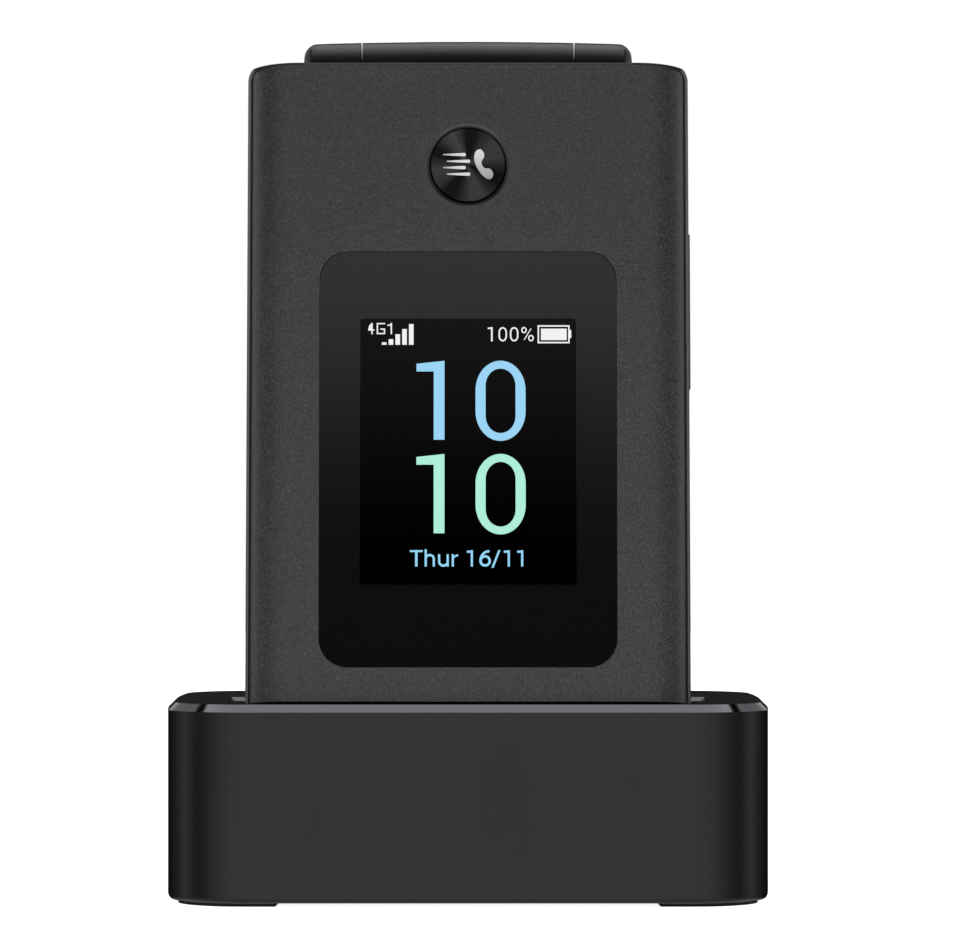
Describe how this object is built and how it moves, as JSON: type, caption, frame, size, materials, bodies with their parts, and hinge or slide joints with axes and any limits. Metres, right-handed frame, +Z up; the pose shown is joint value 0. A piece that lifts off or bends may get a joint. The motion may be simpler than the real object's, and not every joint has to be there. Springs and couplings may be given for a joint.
{
  "type": "flip phone in charging cradle",
  "caption": "Closed flip phone with outer display and round quick-call button, standing in its desktop charging cradle; lid, keys, battery cover and lift-out phone move.",
  "frame": {"origin": "centre of the underside of the cradle, on the table", "axes": "+X to the right seen from the front, +Y to the back, +Z up; the phone faces -Y"},
  "size_m": [0.0772, 0.048, 0.1103],
  "materials": {
    "lid_paint": "satin metallic charcoal",
    "frame_paint": "satin metallic grey",
    "housing_plastic": "fine matt",
    "back_plastic": "fine textured matt",
    "smoked_panel": "high gloss smoked",
    "clear_window": "high gloss",
    "display_black": "gloss",
    "spun_metal": "spun anodised black",
    "key_plastic": "satin",
    "nav_metal": "satin",
    "rocker_plastic": "satin",
    "circuit_board": "solder mask",
    "spring_metal": "plain",
    "battery_wrap": "printed wrap",
    "steel": "plain",
    "gold_contact": "gold plated",
    "dock_plastic": "fine textured satin",
    "rubber": "matt",
    "black_plastic": "matt"
  },
  "bodies": {
    "dock": {"dock_shell": "dock_plastic", "dock_base_plate": "dock_plastic", "dock_feet": "rubber", "dock_circuit_board": "circuit_board", "dock_usb_socket": "steel", "dock_pin_holder": "black_plastic", "dock_screws": "steel", "dock_weight": "steel"},
    "contacts": {"contact_pins": "gold_contact"},
    "base": {"keypad_housing": "housing_plastic", "chin_cap": "housing_plastic", "rear_housing": "back_plastic", "battery": "battery_wrap", "main_circuit_board": "circuit_board", "key_dome_sheet": "spring_metal", "rear_camera": "black_plastic", "camera_window": "clear_window", "loudspeaker": "black_plastic", "vibration_motor": "steel", "antenna": "black_plastic", "usb_socket": "steel", "charge_pads": "gold_contact", "sim_holder": "black_plastic", "battery_contacts": "black_plastic", "base_screws": "steel", "hinge_pins": "steel", "side_key_switches": "circuit_board"},
    "lid": {"lid_outer_cover": "lid_paint", "lid_inner_cover": "frame_paint", "outer_window": "smoked_panel", "outer_display": "display_black", "main_window": "clear_window", "main_display": "display_black", "lid_circuit_board": "circuit_board", "earpiece": "black_plastic", "lid_bumpers": "rubber", "lid_screws": "steel", "quick_call_dome": "spring_metal", "hinge_cartridge": "steel"},
    "quick_call": {"quick_call_button": "spun_metal"},
    "back_cover": {"battery_cover": "back_plastic"},
    "rocker": {"volume_rocker": "rocker_plastic"},
    "key_star": {"key_star": "key_plastic"},
    "key_0": {"key_0": "key_plastic"},
    "key_hash": {"key_hash": "key_plastic"},
    "key_7": {"key_7": "key_plastic"},
    "key_8": {"key_8": "key_plastic"},
    "key_9": {"key_9": "key_plastic"},
    "key_4": {"key_4": "key_plastic"},
    "key_5": {"key_5": "key_plastic"},
    "key_6": {"key_6": "key_plastic"},
    "key_1": {"key_1": "key_plastic"},
    "key_2": {"key_2": "key_plastic"},
    "key_3": {"key_3": "key_plastic"},
    "call_key": {"call_key": "key_plastic"},
    "soft_key_left": {"soft_key_left": "key_plastic"},
    "end_key": {"end_key": "key_plastic"},
    "soft_key_right": {"soft_key_right": "key_plastic"},
    "nav_ring": {"nav_ring": "nav_metal"},
    "ok_key": {"ok_key": "key_plastic"}
  },
  "joints": [
    {"name": "phone_lift", "type": "slide", "parent": "dock", "child": "base", "axis": [0, 0.1305, 0.9914], "range_m": [0, 0.05]},
    {"name": "lid_hinge", "type": "hinge", "parent": "base", "child": "lid", "pos_m": [0, -0.00245, 0.10512], "axis": [-1, 0, 0], "range_deg": [0, 165]},
    {"name": "battery_cover_off", "type": "slide", "parent": "base", "child": "back_cover", "axis": [0, 0.9914, -0.1305], "range_m": [0, 0.04]},
    {"name": "quick_call_press", "type": "slide", "parent": "lid", "child": "quick_call", "axis": [0, 0.9914, -0.1305], "range_m": [0, 0.0003], "stiffness_N_per_m": 1000, "springref_m": -0.001},
    {"name": "volume_rock", "type": "hinge", "parent": "base", "child": "rocker", "pos_m": [0.0268, -0.00143, 0.07533], "axis": [0, 0.9914, -0.1305], "range_deg": [-1, 1], "stiffness_Nm_per_rad": 0.5},
    {"name": "contact_travel", "type": "slide", "parent": "dock", "child": "contacts", "axis": [0, 0.1305, 0.9914], "range_m": [-0.0008, 0], "stiffness_N_per_m": 300, "springref_m": 0.001},
    {"name": "key_star_press", "type": "slide", "parent": "base", "child": "key_star", "axis": [0, 0.9914, -0.1305], "range_m": [0, 0.0003], "stiffness_N_per_m": 1000, "springref_m": -0.001},
    {"name": "key_0_press", "type": "slide", "parent": "base", "child": "key_0", "axis": [0, 0.9914, -0.1305], "range_m": [0, 0.0003], "stiffness_N_per_m": 1000, "springref_m": -0.001},
    {"name": "key_hash_press", "type": "slide", "parent": "base", "child": "key_hash", "axis": [0, 0.9914, -0.1305], "range_m": [0, 0.0003], "stiffness_N_per_m": 1000, "springref_m": -0.001},
    {"name": "key_7_press", "type": "slide", "parent": "base", "child": "key_7", "axis": [0, 0.9914, -0.1305], "range_m": [0, 0.0003], "stiffness_N_per_m": 1000, "springref_m": -0.001},
    {"name": "key_8_press", "type": "slide", "parent": "base", "child": "key_8", "axis": [0, 0.9914, -0.1305], "range_m": [0, 0.0003], "stiffness_N_per_m": 1000, "springref_m": -0.001},
    {"name": "key_9_press", "type": "slide", "parent": "base", "child": "key_9", "axis": [0, 0.9914, -0.1305], "range_m": [0, 0.0003], "stiffness_N_per_m": 1000, "springref_m": -0.001},
    {"name": "key_4_press", "type": "slide", "parent": "base", "child": "key_4", "axis": [0, 0.9914, -0.1305], "range_m": [0, 0.0003], "stiffness_N_per_m": 1000, "springref_m": -0.001},
    {"name": "key_5_press", "type": "slide", "parent": "base", "child": "key_5", "axis": [0, 0.9914, -0.1305], "range_m": [0, 0.0003], "stiffness_N_per_m": 1000, "springref_m": -0.001},
    {"name": "key_6_press", "type": "slide", "parent": "base", "child": "key_6", "axis": [0, 0.9914, -0.1305], "range_m": [0, 0.0003], "stiffness_N_per_m": 1000, "springref_m": -0.001},
    {"name": "key_1_press", "type": "slide", "parent": "base", "child": "key_1", "axis": [0, 0.9914, -0.1305], "range_m": [0, 0.0003], "stiffness_N_per_m": 1000, "springref_m": -0.001},
    {"name": "key_2_press", "type": "slide", "parent": "base", "child": "key_2", "axis": [0, 0.9914, -0.1305], "range_m": [0, 0.0003], "stiffness_N_per_m": 1000, "springref_m": -0.001},
    {"name": "key_3_press", "type": "slide", "parent": "base", "child": "key_3", "axis": [0, 0.9914, -0.1305], "range_m": [0, 0.0003], "stiffness_N_per_m": 1000, "springref_m": -0.001},
    {"name": "call_key_press", "type": "slide", "parent": "base", "child": "call_key", "axis": [0, 0.9914, -0.1305], "range_m": [0, 0.0003], "stiffness_N_per_m": 1000, "springref_m": -0.001},
    {"name": "soft_key_left_press", "type": "slide", "parent": "base", "child": "soft_key_left", "axis": [0, 0.9914, -0.1305], "range_m": [0, 0.0003], "stiffness_N_per_m": 1000, "springref_m": -0.001},
    {"name": "end_key_press", "type": "slide", "parent": "base", "child": "end_key", "axis": [0, 0.9914, -0.1305], "range_m": [0, 0.0003], "stiffness_N_per_m": 1000, "springref_m": -0.001},
    {"name": "soft_key_right_press", "type": "slide", "parent": "base", "child": "soft_key_right", "axis": [0, 0.9914, -0.1305], "range_m": [0, 0.0003], "stiffness_N_per_m": 1000, "springref_m": -0.001},
    {"name": "nav_ring_press", "type": "slide", "parent": "base", "child": "nav_ring", "axis": [0, 0.9914, -0.1305], "range_m": [0, 0.0003], "stiffness_N_per_m": 1000, "springref_m": -0.001},
    {"name": "ok_key_press", "type": "slide", "parent": "base", "child": "ok_key", "axis": [0, 0.9914, -0.1305], "range_m": [0, 0.0003], "stiffness_N_per_m": 1000, "springref_m": -0.001}
  ]
}
